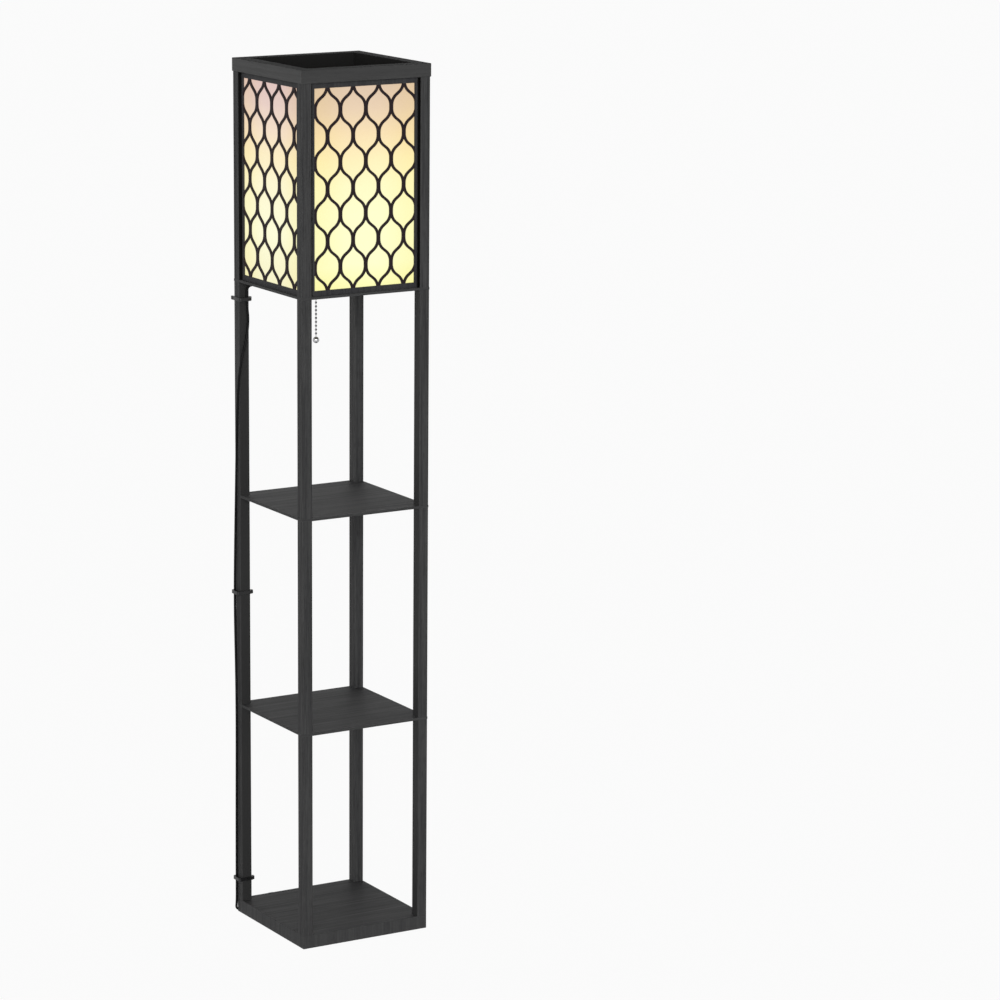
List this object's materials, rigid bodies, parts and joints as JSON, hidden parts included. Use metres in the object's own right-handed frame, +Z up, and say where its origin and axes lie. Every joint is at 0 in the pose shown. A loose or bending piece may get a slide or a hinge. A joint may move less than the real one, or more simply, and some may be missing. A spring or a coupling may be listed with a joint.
{
  "type": "shelf floor lamp",
  "caption": "Square floor lamp: black post frame with open shelves under a lit shade with wavy lattice sides, pull-chain switch and mains cord.",
  "frame": {"origin": "middle of the base board's underside, on the floor", "axes": "+Z up, -Y the front, -X the left side, where the pull chain hangs; the cord runs down the back left post"},
  "size_m": [0.2682, 0.3027, 1.6],
  "materials": {
    "wood": "black woodgrain, satin",
    "frame_wood": "dark stained softwood",
    "screen": "matt translucent sheet",
    "steel": "zinc plated",
    "bar_paint": "satin black",
    "holder": "moulded, satin",
    "screw_metal": "plain",
    "bulb_metal": "plain",
    "bulb_glass": "frosted",
    "chain_metal": "nickel plated",
    "cord": "smooth satin sheath",
    "plug": "moulded, satin",
    "tie": "satin"
  },
  "bodies": {
    "root": {"bar_screws": "steel", "base_board": "wood", "base_screws": "steel", "collar_back": "wood", "collar_dowels": "frame_wood", "collar_front": "wood", "collar_left": "wood", "collar_right": "wood", "cord_grip": "cord", "cord_hank": "cord", "cord_run": "cord", "cord_ties": "tie", "grille_back": "wood", "grille_front": "wood", "grille_left": "wood", "grille_right": "wood", "hank_tie": "tie", "lower_post_back_left": "wood", "lower_post_back_right": "wood", "lower_post_front_left": "wood", "lower_post_front_right": "wood", "lower_shelf": "wood", "middle_post_back_left": "wood", "middle_post_back_right": "wood", "middle_post_front_left": "wood", "middle_post_front_right": "wood", "nipple_nut": "steel", "plug_blades": "screw_metal", "plug_body": "plug", "post_studs": "steel", "screen_back": "screen", "screen_frame_back": "frame_wood", "screen_frame_front": "frame_wood", "screen_frame_left": "frame_wood", "screen_frame_right": "frame_wood", "screen_front": "screen", "screen_left": "screen", "screen_right": "screen", "screw_shell": "screw_metal", "shade_floor": "wood", "shade_post_back_left": "wood", "shade_post_back_right": "wood", "shade_post_front_left": "wood", "shade_post_front_right": "wood", "socket_bar": "bar_paint", "socket_cap": "holder", "socket_nipple": "steel", "socket_shell": "holder", "switch_body": "holder", "upper_post_back_left": "wood", "upper_post_back_right": "wood", "upper_post_front_left": "wood", "upper_post_front_right": "wood", "upper_shelf": "wood"},
    "chain_top": {"chain_top": "chain_metal"},
    "chain_middle": {"chain_middle": "chain_metal"},
    "chain_lower": {"chain_lower": "chain_metal"},
    "bulb_cap": {"bulb_cap": "bulb_metal"},
    "bulb_glass": {"bulb_glass": "bulb_glass"}
  },
  "joints": [
    {"name": "chain_pull", "type": "slide", "parent": "root", "child": "chain_top", "axis": [0, 0, -1], "range_m": [0, 0.012], "stiffness_N_per_m": 800, "springref_m": -0.005},
    {"name": "chain_swing_side", "type": "hinge", "parent": "chain_top", "child": "chain_middle", "pos_m": [-0.031, 0, 1.21202], "axis": [1, 0, 0], "range_deg": [-45, 45]},
    {"name": "chain_swing_front", "type": "hinge", "parent": "chain_middle", "child": "chain_lower", "pos_m": [-0.031, 0, 1.20497], "axis": [0, 1, 0], "range_deg": [-45, 45]},
    {"name": "bulb_lift", "type": "slide", "parent": "root", "child": "bulb_cap", "axis": [0, 0, 1], "range_m": [0, 0.01089]},
    {"name": "bulb_turn", "type": "hinge", "parent": "bulb_cap", "child": "bulb_glass", "pos_m": [0, 0, 1.3], "axis": [0, 0, 1], "range_deg": [0, 1080]}
  ],
  "couplings": [
    {"joint": "bulb_lift", "follows": "bulb_turn", "m_per_rad": 0.00057774}
  ]
}
